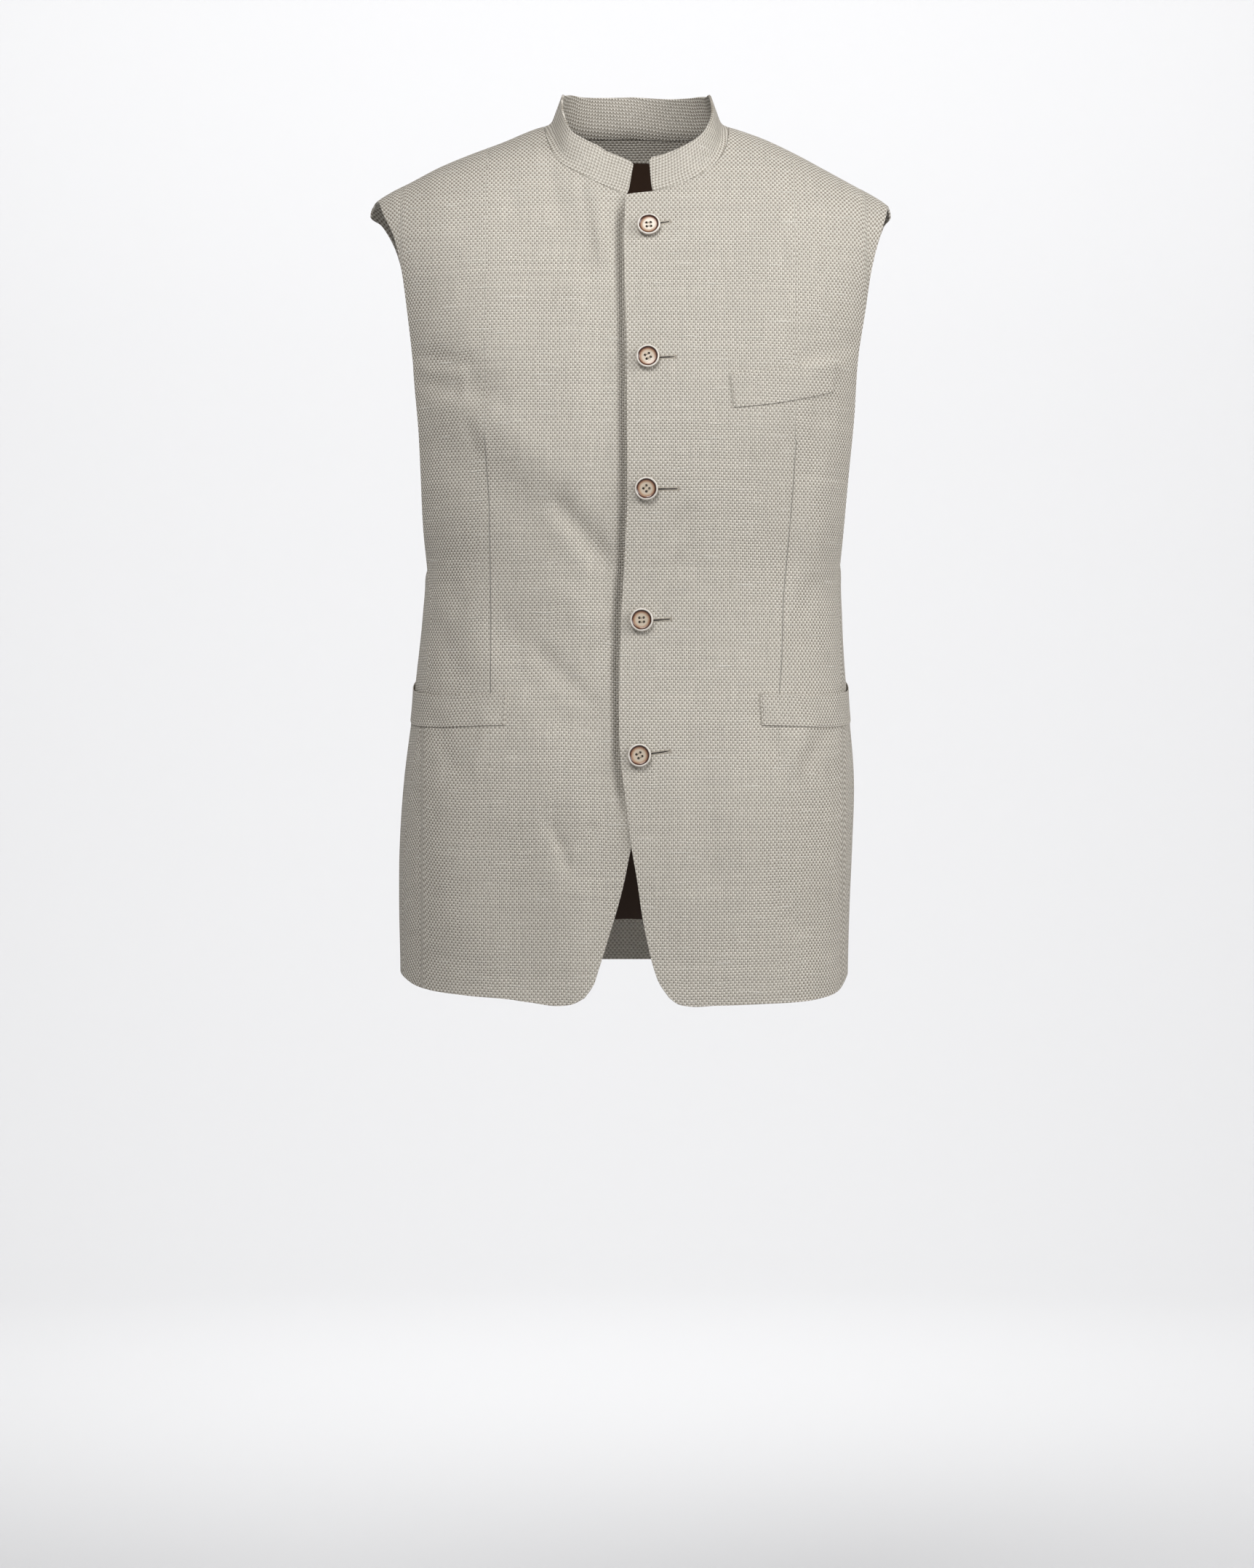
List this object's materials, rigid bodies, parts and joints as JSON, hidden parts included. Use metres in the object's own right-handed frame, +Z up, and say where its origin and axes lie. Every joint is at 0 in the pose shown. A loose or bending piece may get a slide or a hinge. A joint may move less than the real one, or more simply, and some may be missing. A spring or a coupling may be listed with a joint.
{
  "type": "nehru jacket",
  "caption": "Sleeveless nehru jacket in stone-coloured basket-weave cloth: band collar, buttoned front, welt pockets and curved front hem, hollow and in its worn shape.",
  "frame": {"origin": "Middle of the neck base, level with the two shoulder-neck points, where the garment rests on its wearer or hanger", "axes": "+Z up along the body, +X towards the wearer's left, -Y out of the buttoned front"},
  "size_m": [0.445, 0.2536, 0.7811],
  "materials": {
    "cloth": "matte basket weave",
    "buttons": "gloss"
  },
  "bodies": {
    "root": {"front_left": "cloth", "front_right": "cloth", "back": "cloth", "side_left": "cloth", "side_right": "cloth", "collar": "cloth", "chest_welt": "cloth", "hip_welt_left": "cloth", "hip_welt_right": "cloth", "button_1": "buttons", "button_2": "buttons", "button_3": "buttons", "button_4": "buttons", "button_5": "buttons"}
  },
  "joints": []
}
